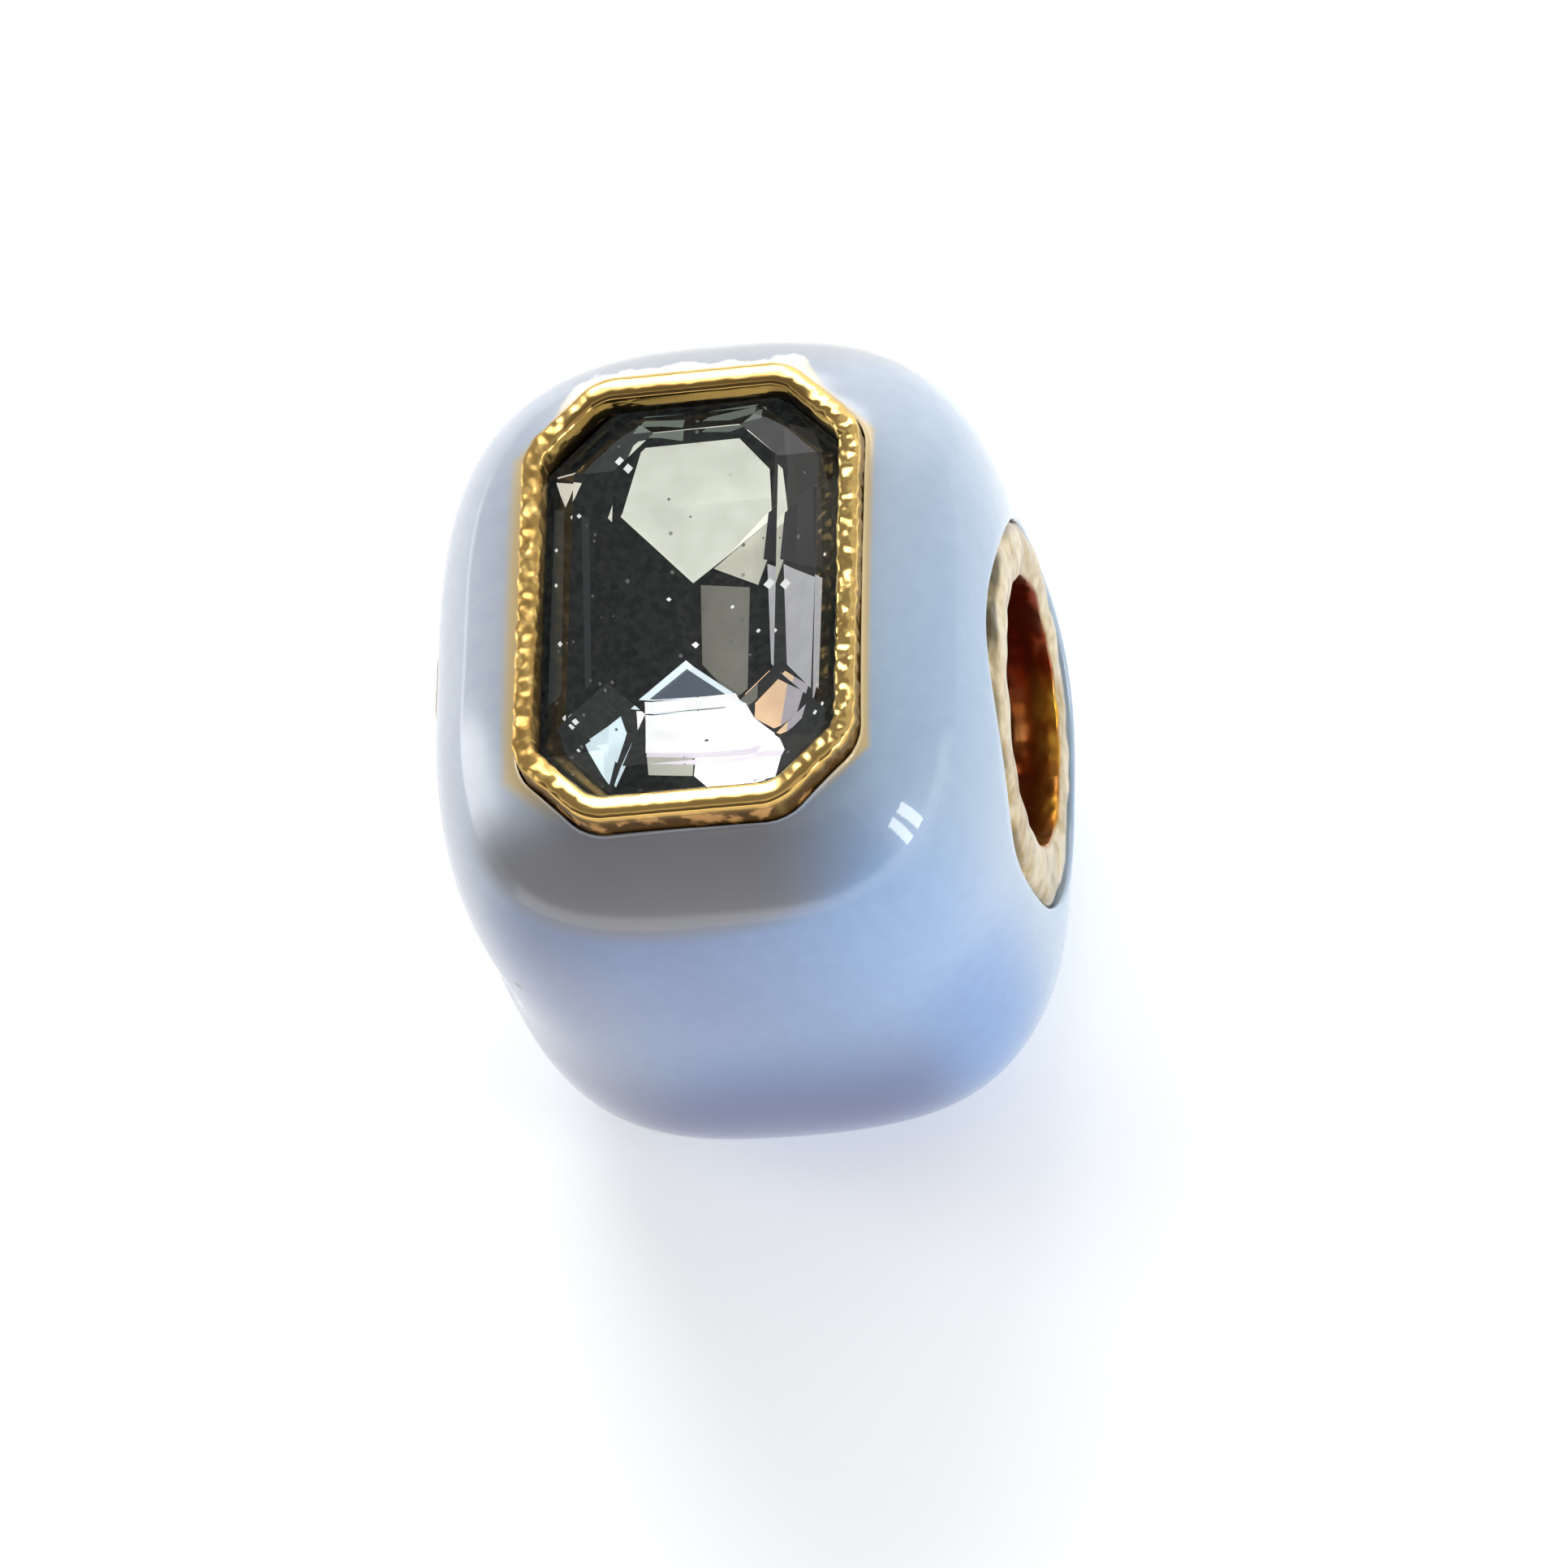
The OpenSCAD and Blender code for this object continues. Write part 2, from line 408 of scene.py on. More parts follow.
skin = {
    "flat": 0.999,  # how far out the middle of a face on a side of the cube is, at least
    "window": 27 / 32,  # share of the cube's top that is cut out before the window is fitted
    "mouth": 28 / 32,
    "mouthsFrom": 0.8,  # share of the half width beyond which an open edge belongs to a mouth
    "rows": 7,
    "parts": {"corner": 4, "long": 36, "wide": 20, "chamfer": 16},
}


def cushionSkin(inset, cuts, windowShare, mouthRadius):
    bm = bmesh.new()
    bmesh.ops.create_cube(bm, size=2)
    bmesh.ops.subdivide_edges(bm, edges=bm.edges[:], cuts=cuts, use_grid_fill=True)
    holes = []
    for face in bm.faces:
        x, y, z = face.calc_center_median()
        inWindow = z > skin["flat"] and max(abs(x), abs(y)) < skin["window"]
        inMouth = abs(x) > skin["flat"] and max(abs(y), abs(z)) < skin["mouth"]
        if inWindow or inMouth:
            holes.append(face)
    bmesh.ops.delete(bm, geom=holes, context="FACES")
    bm = withoutGaps(bm)
    for v in bm.verts:
        reach = cushion["up"] if v.co.z > 0 else cushion["down"]
        spot = Vector((v.co.x * cushion["halfWidth"], v.co.y * cushion["halfLength"], v.co.z * reach))
        v.co = spot / cushionShare(spot, inset)
    for side in (-1, 1):
        border = borderEdges(bm, 0, side)
        before = len(bm.verts)
        out = Matrix.Translation((side * cushion["halfWidth"], 0, 0))
        turn = out @ Matrix.Rotation(math.pi / 2, 4, "Y")
        circle = bmesh.ops.create_circle(bm, radius=mouthRadius, segments=len(border), matrix=turn)["verts"]
        for v in circle:
            stretch = ringReach(math.atan2(v.co.y, v.co.z), mouthRadius) / mouthRadius
            v.co.y, v.co.z = v.co.y * stretch, v.co.z * stretch + hole["height"] - cushion["middle"]
        bridgeRows(bm, border, newEdges(bm, before), skin["rows"])
        for v in newVerts(bm, before):
            v.co = slideToSkin(v.co, 0, inset)
    border = borderEdges(bm, 2, 1)
    before = len(bm.verts)
    bridgeRows(bm, border, octagonLoop(bm, windowShare, cushion["up"], skin["parts"]), skin["rows"])
    for v in newVerts(bm, before):
        v.co = slideToSkin(v.co, 2, inset)
    for v in bm.verts:
        v.co.z = max(v.co.z + cushion["middle"], inset)
    return bm


def openings(bm):  # the loop of edges round the window, the left mouth and the right mouth
    border = [e for e in bm.edges if e.is_boundary]
    apart = skin["mouthsFrom"] * cushion["halfWidth"]
    window = [e for e in border if abs(e.verts[0].co.x) < apart]
    left = [e for e in border if e.verts[0].co.x < -apart]
    right = [e for e in border if e.verts[0].co.x > apart]
    return (window, Vector((0, 0, 1))), (left, Vector((-1, 0, 0))), (right, Vector((1, 0, 0)))


# Enamel coat

enamelCoat = {
    "cuts": 63,
    "thick": 0.5 * mm,
    "gap": 0.012 * mm,
    "edgeShare": 0.8,  # how much of the thickness the edges of the openings go straight down
    "lip": 0.07 * mm,  # radius of the glaze where it climbs the bezel or rounds over at the mouths
    "lipRows": 4,
    "wave": 0.025 * mm,  # how far the glaze waves in and out
    "waveSize": 1.9 * mm,
    "seed": 3.1,
    "notch": Vector((-4.35, -4.05, 5.2)) * mm,  # a chip that was glazed over
    "notchDepth": 0.16 * mm,
    "notchRadius": 0.75 * mm,
    # painted sheen: paler to the left and the far side
    "pale": (0.46, 0.52, 0.60, 1),
    "blue": (0.31, 0.43, 0.57, 1),
    "deepBlue": (0.25, 0.395, 0.65, 1),  # painted light and shade: the front, a deeper blue than the sides
    "lavender": (0.20, 0.265, 0.46, 1),  # painted shade: the front, left of the middle
    "dusk": (0.082, 0.115, 0.28, 1),  # painted shade: the front, low down; also a faint random grain
    "azure": (0.165, 0.315, 0.61, 1),  # painted light: the front, low down on the right
    "smoke": (0.12, 0.14, 0.18, 1),  # painted shade: the front, towards the left edge
    "ash": (0.35, 0.37, 0.385, 1),  # painted reflection: the far edge greyed, as its sheen greys it
    "shoulderShade": (0.22, 0.222, 0.238, 1),  # painted shade: the front shoulder below the bezel
    "fringe": (0.62, 0.47, 0.22, 1),  # painted reflection of the bezel's gold, as a golden halo in the glaze beside the bezel
    "fringeLight": (0.90, 0.89, 0.84, 1),  # painted highlight: a whiter glow at its far end
    "fringeWidth": 0.27,
    "pit": Vector((-3.41, -4.8, 6.42)),  # a dark pinhole, in mm
    "pitTone": (0.05, 0.07, 0.09, 1),
    "roughness": 0.4,
    "coatRoughness": 0.05,
}
# What tints the blue, one over the other: the tone, its strength, and the parts whose product says where it
# shows. A part is a mask's name, or a measure with the values in mm at which the tone starts and is full.
# All these washes but the faint dusk over the grain are painted light and shade
washes = [
    ("deepBlue", 1, ["front"]),
    ("pale", 1, [("slope", 0.65, -0.35)]),
    ("ash", 1, [("y", 4.1, 4.9), ("z", 7.4, 8.6)]),
    ("lavender", 0.9, [("x", 2.8, -0.8), ("y", -4.0, -5.1), ("z", 3.8, 6.6)]),
    ("dusk", 1, [("z", 6.2, 2.6), ("x", 6.0, 1.2), ("z", -0.5, 2.4), "front"]),
    ("azure", 1, [("z", 6.6, 4.8), ("x", 2.2, 3.6), "front"]),
    ("smoke", 0.32, [("x", -1.0, -2.8), "front"]),
    ("dusk", 0.12, ["grain"]),
    ("shoulderShade", 1, [("rise", 8.2, 8.65), ("y", -2.9, -4.1), ("x", -4.3, -3.1), ("x", 3.5, 0.9)]),
]
wallWide = (octagon["width"] - octagon["openWidth"]) / 2
wallStretch = (octagon["length"] - octagon["openLength"]) / 2 / wallWide


def makeEnamelCoat():
    made = enamelCoat
    lip = made["lip"]
    reach = made["gap"] + lip
    bm = cushionSkin(0.0, made["cuts"], -reach / wallWide, hole["ringRadius"] + reach)
    reach = made["gap"]
    inner = cushionSkin(made["thick"], made["cuts"], -reach / wallWide, hole["ringRadius"] + reach)
    for edges, axis in openings(bm):
        climbs = axis.z > 0  # the glaze climbs the bezel, and rounds over at the mouths
        for row in range(made["lipRows"]):
            turn = math.pi / 2 * row / made["lipRows"]
            further = math.pi / 2 * (row + 1) / made["lipRows"]
            inward = lip * (math.sin(further) - math.sin(turn))
            drop = lip * (math.cos(turn) - math.cos(further))
            edges = stepLoop(bm, edges, axis, inward, drop if climbs else -drop)
        stepLoop(bm, edges, axis, 0.0, -(made["edgeShare"] * made["thick"] + (lip if climbs else -lip)))
    bmesh.ops.recalc_face_normals(bm, faces=bm.faces[:])
    bm.normal_update()
    roughen(bm.verts, made["wave"], made["waveSize"], made["seed"])
    for v in bm.verts:
        away = (v.co - made["notch"]).length / made["notchRadius"]
        v.co -= v.normal * made["notchDepth"] * math.exp(-away * away * 2)
        v.co.z = max(v.co.z, 0.0)
    mesh = bpy.data.meshes.new("passing")
    inner.to_mesh(mesh)
    inner.free()
    bm.from_mesh(mesh)
    bpy.data.meshes.remove(mesh)
    for edges, _ in openings(bm):
        bmesh.ops.bridge_loops(bm, edges=edges)
    bmesh.ops.recalc_face_normals(bm, faces=bm.faces[:])
    return dress(bm, "enamelCoat", "enamel_coat", [enamelMaterial()])


def enamelMaterial():
    made = enamelCoat
    material, tree, shader = newMaterial("periwinkleEnamel")
    spot = millimetres(tree)
    x, y, z = axes(tree, spot)
    measures = {"x": x, "y": y, "z": z}
    measures["front"] = ramp(tree, y, -3.0, -4.9)
    # Rises towards the right and the front. The pale wash over it is painted sheen, paler to the left and
    # the far side.
    measures["slope"] = minus(tree, times(tree, x, 0.11), times(tree, y, 0.09))
    measures["grain"] = cloudy(tree, spot, 3.5, 2.0)
    fromMiddle = plus(tree, x, 0.5)  # the painted shade on the shoulder reaches lowest a little left of the middle
    measures["rise"] = minus(tree, z, times(tree, fromMiddle, fromMiddle, 0.035))
    colour = made["blue"]
    # The washes paint light and shade over the blue, with a faint random grain
    for tone, strength, parts in washes:
        colour = blend(tree, times(tree, where(tree, measures, parts), strength), colour, made[tone])
    # Painted reflection: the golden fringe round the bezel, with a painted highlight, a wider and whiter
    # patch, at its far end
    away = place(tree, octagonDistance, Vector=spot).outputs["Distance"]
    far = where(tree, measures, [("x", -2.6, -2.0), ("x", 2.1, 1.5), ("y", 3.2, 3.9)])
    width = minus(tree, made["fringeWidth"], times(tree, x, 0.03))
    width = plus(tree, width, times(tree, far, 0.42))
    width = minus(tree, width, times(tree, cloudy(tree, spot, 1.6, 3.0), far, 0.25))
    crisp = plus(tree, times(tree, far, 0.55), 0.3)
    fringe = ramp(tree, away, width, times(tree, width, crisp))
    fringe = times(tree, fringe, ramp(tree, y, -3.8, -3.0), ramp(tree, z, 6.0, 7.5))
    colour = blend(tree, fringe, colour, blend(tree, far, made["fringe"], made["fringeLight"]))
    toPit = add(tree, "ShaderNodeVectorMath", operation="DISTANCE")
    tree.links.new(spot, toPit.inputs[0])
    toPit.inputs[1].default_value = made["pit"]
    colour = blend(tree, ramp(tree, toPit.outputs["Value"], 0.13, 0.04), colour, made["pitTone"])
    tree.links.new(colour, shader.inputs["Base Color"])
    shader.inputs["Roughness"].default_value = made["roughness"]
    shader.inputs["Coat Weight"].default_value = 1.0
    shader.inputs["Coat Roughness"].default_value = made["coatRoughness"]
    return material


# Bezel: a cup that holds the stone, with a rubbed-over rim

bezel = {
    "parts": {"corner": 10, "long": 130, "wide": 76, "chamfer": 40},
    "foot": 8.4 * mm,
    "wallRows": 6,
    "crest": metalHigh.z,
    # The rim from its outside to its inside: share of the wall's thickness, and depth below the crest in mm
    "rim": [
        (0, 0.18), (0.01, 0.12), (0.03, 0.08), (0.06, 0.055), (0.1, 0.036), (0.2, 0.017), (0.3, 0.008),
        (0.4, 0.002), (0.5, 0), (0.6, 0.002), (0.7, 0.008), (0.8, 0.017), (0.88, 0.036), (0.93, 0.07),
        (0.96, 0.11), (0.985, 0.18), (1, 0.28), (1, 0.45),
    ],
    # Under the rim the cup widens for the stone's edge, then narrows to its floor: inward, climb, scale
    "cup": [(-0.17 * mm, -0.06 * mm, 1), (0, -0.24 * mm, 1), (0, -0.9 * mm, 0.68), (0, -0.6 * mm, 0.66)],
    "shank": [(-0.3 * mm, 0.93), (-0.6 * mm, 0.62)],  # below its foot, inside the casting: climb, scale
    "lean": 0.18,  # the rim is rubbed over so that it leans back a little
    "longFrom": 1.7 * mm,  # from here outwards the hammering of the long sides grows
    "longFade": 0.7 * mm,
    "hammer": 0.03 * mm,
    "hammerSize": 0.17 * mm,
    "hammerEnds": 0.12,  # share of it on the two ends
    "seed": 7.7,
    "gold": (0.90, 0.63, 0.22, 1),
    # tarnish: random patches, and painted shade on the left side and at the near end
    "tarnish": (0.50, 0.28, 0.07, 1),
    "wallShade": (0.14, 0.07, 0.015, 1),  # painted shade: the outer wall, low down
    # painted reflections: warm patches on the outer wall at the near end
    "reflectedEmber": (0.86, 0.46, 0.16, 1),
    "umber": (0.34, 0.20, 0.06, 1),  # patina between the beads on the long sides, heavier on the left as painted shade, and painted shade inside the far end
    "cupShade": (0.05, 0.035, 0.02, 1),  # painted shade inside the cup
}


def makeBezel():
    made = bezel
    up = Vector((0, 0, 1))
    bm = bmesh.new()
    foot = octagonLoop(bm, 0.0, made["foot"], made["parts"])
    edges = foot
    share, depth = made["rim"][0]
    straight = made["crest"] - depth * mm - made["foot"]
    for _ in range(made["wallRows"]):
        edges = stepLoop(bm, edges, up, 0.0, straight / made["wallRows"])
    for nextShare, nextDepth in made["rim"][1:]:
        inward = (nextShare - share) * wallWide
        climb = (depth - nextDepth) * mm
        edges = stepLoop(bm, edges, up, inward, climb, stretch=wallStretch, lean=made["lean"])
        share, depth = nextShare, nextDepth
    bmesh.ops.recalc_face_normals(bm, faces=bm.faces[:])
    for inward, climb, scale in made["cup"]:
        edges = stepLoop(bm, edges, up, inward, climb, scale)
    capLoop(bm, edges)
    makeShank(bm, foot)
    bmesh.ops.recalc_face_normals(bm, faces=bm.faces[:])
    bm.normal_update()
    rimLow = made["crest"] - made["rim"][-1][1] * mm

    def hammered(spot):
        longSides = min(1.0, max(0.0, (abs(spot.x) - made["longFrom"]) / made["longFade"]))
        share = made["hammerEnds"] + (1 - made["hammerEnds"]) * longSides
        return share if spot.z > rimLow else 0.0

    roughen(bm.verts, made["hammer"], made["hammerSize"], made["seed"], hammered)
    return dress(bm, "bezel", "metal_body", [bezelGold()])


def makeShank(bm, edges):
    for climb, scale in bezel["shank"]:
        edges = stepLoop(bm, edges, Vector((0, 0, 1)), 0, climb, scale)
    capLoop(bm, edges)


def bezelGold():
    made = bezel
    material, tree, shader = newMaterial("bezelGold")
    spot = millimetres(tree)
    x, y, z = axes(tree, spot)
    measures = {"y": y, "depth": minus(tree, made["crest"] / mm, z)}
    measures["away"] = place(tree, octagonDistance, Vector=spot).outputs["Distance"]
    longSides = ramp(tree, maths(tree, "ABSOLUTE", x), 1.8, 2.45)
    # Rougher towards the left, with more tarnish there: the extra tarnish on the left is painted shade
    dullAndShaded = times(tree, longSides, plus(tree, times(tree, ramp(tree, x, 3.0, -3.0), 0.5), 0.2))
    lumps = place(tree, pebbles, Vector=spot, Scale=5.5, Height=0.02)
    wornAndShaded = times(tree, cloudy(tree, spot, 2.5, 2.5), plus(tree, dullAndShaded, 0.3))
    colour = blend(tree, wornAndShaded, made["gold"], made["tarnish"])
    # Patina between the beads, heavier on the left as painted shade
    seams = times(tree, dullAndShaded, ramp(tree, lumps.outputs["Lumps"], 0.7, 0.5))
    colour = blend(tree, seams, colour, made["umber"])
    # Painted shade inside the far end
    farEndShade = where(tree, measures, [("y", 2.6, 3.2), ("away", -0.18, -0.3)])
    colour = blend(tree, times(tree, farEndShade, 0.85), colour, made["umber"])
    # Painted shade: the outer half of the near end browner
    nearEndShade = where(tree, measures, [("y", -2.8, -3.4), ("away", -0.3, -0.12)])
    colour = blend(tree, times(tree, nearEndShade, 0.55), colour, made["tarnish"])
    # Painted shade on the outer wall low down, with painted warm reflections at the near end
    wall = where(tree, measures, [("depth", 0.06, 0.26), ("away", -0.12, -0.02)])
    reflectedEmbers = times(tree, ramp(tree, cloudy(tree, spot, 1.8, 4.0), 0.6, 0.98), ramp(tree, y, -2.6, -3.4))
    colour = blend(tree, wall, colour, blend(tree, reflectedEmbers, made["wallShade"], made["reflectedEmber"]))
    # Painted shade inside the cup
    inCup = where(tree, measures, [("depth", 0.3, 0.48), ("away", -0.2, -0.3)])
    colour = blend(tree, inCup, colour, made["cupShade"])
    tree.links.new(colour, shader.inputs["Base Color"])
    tree.links.new(minus(tree, 1.0, times(tree, wall, 0.6)), shader.inputs["Metallic"])
    tree.links.new(plus(tree, times(tree, dullAndShaded, 0.36), 0.1), shader.inputs["Roughness"])
    bumpUp(tree, shader, times(tree, lumps.outputs["Height"], longSides))
    return material


# Rings round the two mouths, and the lining of the hole between them

ring = {
    "steps": 288,
    "start": 3.7 * mm,
    "midShare": 0.4,  # share of the ring's width, from the hole, at which it is highest
    "outerFall": 0.2 * mm,
    "innerFall": 0.09 * mm,
    "rows": 8,
    "skirt": 0.08 * mm,  # how far the outside falls straight before the glaze hides it
    "dent": 0.045 * mm,
    "dentSize": 0.5 * mm,
    "seed": 1.3,
    "champagne": (0.66, 0.565, 0.38, 1),
    "gilt": (0.38, 0.27, 0.11, 1),
    "olive": (0.12, 0.10, 0.06, 1),
    "roughness": 0.27,
}

lining = {
    "thick": 0.4 * mm,
    "rows": 24,
    "steps": 144,
    # brown is painted shade and amber painted light, and the glow makes both glow as painted light
    "brown": (0.19, 0.026, 0.008, 1),
    "amber": (0.60, 0.32, 0.04, 1),
    "glow": 0.09,
    "roughness": 0.4,
}


def lathe(profile, steps):  # a closed outline of (radius, x) pairs, turned round the hole's axis
    bm = bmesh.new()
    centre = Vector((0, 0, hole["height"]))
    verts = [bm.verts.new(centre + Vector((x, 0, radius))) for radius, x in profile]
    edges = [bm.edges.new((verts[i - 1], verts[i])) for i in range(len(verts))]
    bmesh.ops.spin(
        bm, geom=verts + edges, cent=centre, axis=(1, 0, 0), dvec=(0, 0, 0), angle=2 * math.pi, steps=steps,
        use_merge=True, use_normal_flip=False, use_duplicate=False,
    )
    bmesh.ops.remove_doubles(bm, verts=bm.verts[:], dist=0.0005 * mm)
    bmesh.ops.recalc_face_normals(bm, faces=bm.faces[:])
    return bm


def ringProfile():
    inner, outer, crest = hole["radius"], hole["ringRadius"], hole["crest"]
    middle = inner + (outer - inner) * ring["midShare"]
    turns = [math.pi / 2 * row / ring["rows"] for row in range(1, ring["rows"] + 1)]
    profile = [(inner, ring["start"]), (inner, crest - ring["innerFall"])]
    for turn in turns:
        fall = ring["innerFall"] * (1 - math.sin(turn))
        profile.append((middle - (middle - inner) * math.cos(turn), crest - fall))
    for turn in turns:
        fall = ring["outerFall"] * (1 - math.cos(turn))
        profile.append((middle + (outer - middle) * math.sin(turn), crest - fall))
    return profile + [(outer, crest - ring["outerFall"] - ring["skirt"]), (outer, ring["start"])]


def makeRing(name, side):
    bm = lathe(ringProfile(), ring["steps"])
    bm.normal_update()
    roughen(bm.verts, ring["dent"], ring["dentSize"], ring["seed"] + side)
    width = hole["ringRadius"] - hole["radius"]
    for v in bm.verts:
        y, z = v.co.y, v.co.z - hole["height"]
        radius = math.hypot(y, z)
        share = max(0.0, (radius - hole["radius"]) / width)
        stretch = 1 + (ringReach(math.atan2(y, z), 0.0) * share) / radius
        v.co.y, v.co.z = y * stretch, z * stretch + hole["height"]
        v.co.x *= side
    bmesh.ops.recalc_face_normals(bm, faces=bm.faces[:])
    return dress(bm, name, "metal_body", [ringMetal()])


def makeBoreLightAndShade():  # painted shade: the reddish brown of the hole, with painted light in amber where the light reaches
    group, start, end = newGroup(
        "boreLightAndShade", [("Vector", "NodeSocketVector")], [("Color", "NodeSocketColor")]
    )
    x, y, _ = axes(group, start.outputs["Vector"])
    clouds = cloudy(group, start.outputs["Vector"], 1.5, 5.0)
    lip = plus(group, times(group, ramp(group, maths(group, "ABSOLUTE", x), 4.02, 4.28), 0.8), 0.2)
    lit = times(group, lip, ramp(group, y, 1.7, 1.1), plus(group, times(group, clouds, 0.7), 0.3))
    group.links.new(blend(group, lit, lining["brown"], lining["amber"]), end.inputs["Color"])
    return group


boreLightAndShade = makeBoreLightAndShade()


def ringMetal():
    if "ringMetal" in bpy.data.materials:
        return bpy.data.materials["ringMetal"]
    material, tree, shader = newMaterial("ringMetal")
    spot = millimetres(tree)
    _, y, z = axes(tree, spot)
    rise = minus(tree, z, hole["height"] / mm)
    fromAxis = maths(tree, "SQRT", plus(tree, times(tree, y, y), times(tree, rise, rise)))
    patches = times(tree, cloudy(tree, spot, 1.9, 7.0), 0.55)
    patches = plus(tree, patches, times(tree, cloudy(tree, spot, 6.0, 5.0), 0.3))
    colour = blend(tree, patches, ring["champagne"], ring["gilt"])
    crown = where(tree, {"y": y, "z": z}, [("z", 7.0, 7.6), ("y", -0.9, -0.1), ("y", 1.5, 1.0)])
    stained = plus(tree, times(tree, cloudy(tree, spot, 1.1, 4.0), 0.7), times(tree, crown, 0.7))
    border = ramp(tree, fromAxis, hole["ringRadius"] / mm - 0.2, hole["ringRadius"] / mm - 0.03)
    colour = blend(tree, maths(tree, "MULTIPLY", border, stained, clamp=True), colour, ring["olive"])
    # The ring's inner edge takes the hole's painted shade and light, and glows as painted light
    inside = ramp(tree, fromAxis, hole["radius"] / mm + 0.08, hole["radius"] / mm)
    tint = place(tree, boreLightAndShade, Vector=spot).outputs["Color"]
    tree.links.new(blend(tree, inside, colour, tint), shader.inputs["Base Color"])
    tree.links.new(blend(tree, inside, (0, 0, 0, 1), tint), shader.inputs["Emission Color"])
    shader.inputs["Emission Strength"].default_value = lining["glow"]
    shader.inputs["Metallic"].default_value = 1.0
    shader.inputs["Roughness"].default_value = ring["roughness"]
    bumpUp(tree, shader, place(tree, pebbles, Vector=spot, Scale=3.0, Height=0.035).outputs["Height"])
    return material


def makeLining():
    inner, outer, end = hole["radius"], hole["radius"] + lining["thick"], ring["start"]
    rows = lining["rows"]
    profile = [(inner, -end + 2 * end * k / rows) for k in range(rows + 1)] + [(outer, end), (outer, -end)]
    return dress(lathe(profile, lining["steps"]), "holeLining", "metal_body", [liningMetal()])


def liningMetal():
    material, tree, shader = newMaterial("liningMetal")
    spot = millimetres(tree)
    # The hole's painted shade and light, which also glows as painted light
    colour = place(tree, boreLightAndShade, Vector=spot).outputs["Color"]
    tree.links.new(colour, shader.inputs["Base Color"])
    tree.links.new(colour, shader.inputs["Emission Color"])
    shader.inputs["Emission Strength"].default_value = lining["glow"]
    shader.inputs["Metallic"].default_value = 1.0
    shader.inputs["Roughness"].default_value = lining["roughness"]
    bumpUp(tree, shader, place(tree, pebbles, Vector=spot, Scale=2.0, Height=0.02).outputs["Height"])
    return material


# The casting's core, which the enamel hides

core = {
    "inset": 0.53 * mm,
    "cuts": 31,
    "gold": (0.76, 0.54, 0.24, 1),
    "shade": (0.52, 0.34, 0.13, 1),
    "roughness": 0.45,
}


def makeCore():
    tube = hole["radius"] + lining["thick"]
    bm = cushionSkin(core["inset"], core["cuts"], 0.0, tube)
    window, left, right = openings(bm)
    edges, up = window
    low = stepLoop(bm, edges, up)
    for v in {v for e in low for v in e.verts}:
        v.co.z = bezel["foot"]
    makeShank(bm, low)
    bmesh.ops.bridge_loops(bm, edges=left[0] + right[0])
    bmesh.ops.recalc_face_normals(bm, faces=bm.faces[:])
    material, tree, shader = newMaterial("castGold")
    patches = cloudy(tree, millimetres(tree), 1.5, 2.0)
    tree.links.new(blend(tree, patches, core["gold"], core["shade"]), shader.inputs["Base Color"])
    shader.inputs["Metallic"].default_value = 1.0
    shader.inputs["Roughness"].default_value = core["roughness"]
    return dress(bm, "castingCore", "metal_body", [material])


# Stone: an octagonal step cut with foil on its back

stone = {
    "cut": 1.15 * mm,
    "crown": 0.6 * mm,
    "girdle": 0.1 * mm,
    "pavilion": 1.45 * mm,
    "tableWidth": 2.64 * mm,
    "tableLength": 5 * mm,
    "tableCut": 0.62 * mm,
    "tableShift": Vector((0.12, 0.3)) * mm,
    "stepIn": 0.46,  # the crown's middle step: share of the way in to the table
    "stepUp": 0.62,  # and of the way up
    "shelfWidth": 2.6 * mm,  # where the pavilion turns from steep to flat
    "shelfLength": 3.96 * mm,
    "shelfShare": 0.6,
    "keel": 1.36 * mm,
    "keelShift": -0.1 * mm,
    "backFrom": -0.05,  # a face whose normal points further down than this is part of the foiled back
    "glass": (0.95, 0.97, 0.98, 1),
    "refraction": 1.52,
    "charcoal": (0.005, 0.006, 0.006, 1),
    "dust": (0.015, 0.017, 0.0155, 1),
    "haze": (0.03, 0.03, 0.035, 1),
    "specks": (0.10, 0.105, 0.10, 1),
    "foilRoughness": 0.3,
    "sparkle": (0.78, 0.80, 0.78, 1),
    # Painted glints on the back of the stone: x, y and radius in mm
    "sparkles": [
        (-1.15, 2.63, 0.08), (-1.8, 1.89, 0.045), (-2.13, 1.28, 0.04), (-2.11, 0.65, 0.04),
        (-1.98, -0.39, 0.055), (1.11, 0.47, 0.1), (-0.54, 0.45, 0.04), (-0.12, -0.34, 0.06),
        (0.94, -0.33, 0.04), (1.75, 0.86, 0.035), (1.76, -1.79, 0.045), (-1.82, -1.7, 0.06),
        (-1.73, -2.1, 0.035), (0.49, 0.2, 0.035),
    ],
}
